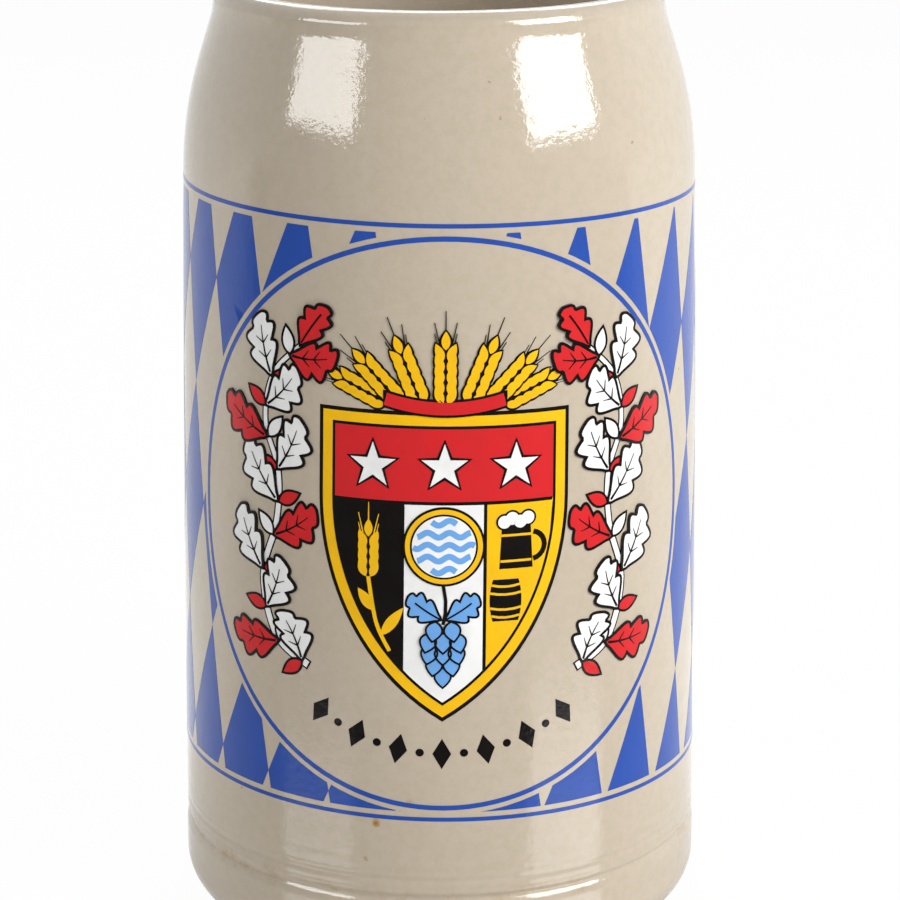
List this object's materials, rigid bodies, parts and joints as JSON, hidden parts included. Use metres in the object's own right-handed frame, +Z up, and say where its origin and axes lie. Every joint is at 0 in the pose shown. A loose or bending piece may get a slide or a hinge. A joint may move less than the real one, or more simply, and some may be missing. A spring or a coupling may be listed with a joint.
{
  "type": "beer stein",
  "caption": "Tall stoneware beer mug with a drawn-in neck, a turned foot band, a strap handle and a fired blue lozenge transfer.",
  "frame": {"origin": "centre of the foot ring, on the surface the mug stands on", "axes": "+Z up along the mug's turning axis, -Y towards the decorated front, +Y towards the handle, +X to the right seen from the front"},
  "size_m": [0.1127, 0.1548, 0.2],
  "materials": {
    "salt_glazed_body": "glossy greige glaze with an orange-peel skin, bare at the foot ring",
    "salt_glazed_handle": "glossy greige glaze over a smoothed strap",
    "slip_joint": "glazed slip, smoothed by sponge",
    "cobalt_transfer": "glossy cobalt-blue ceramic transfer, fired on the glaze",
    "emblem_transfer": "glossy many-coloured ceramic transfer, fired on the glaze"
  },
  "bodies": {
    "root": {"body": "salt_glazed_body", "handle": "salt_glazed_handle", "upper_slip_joint": "slip_joint", "lower_slip_joint": "slip_joint", "lozenge_transfer": "cobalt_transfer", "upper_line_transfer": "cobalt_transfer", "lower_line_transfer": "cobalt_transfer", "ring_transfer": "cobalt_transfer", "shield_transfer": "emblem_transfer"}
  },
  "joints": []
}
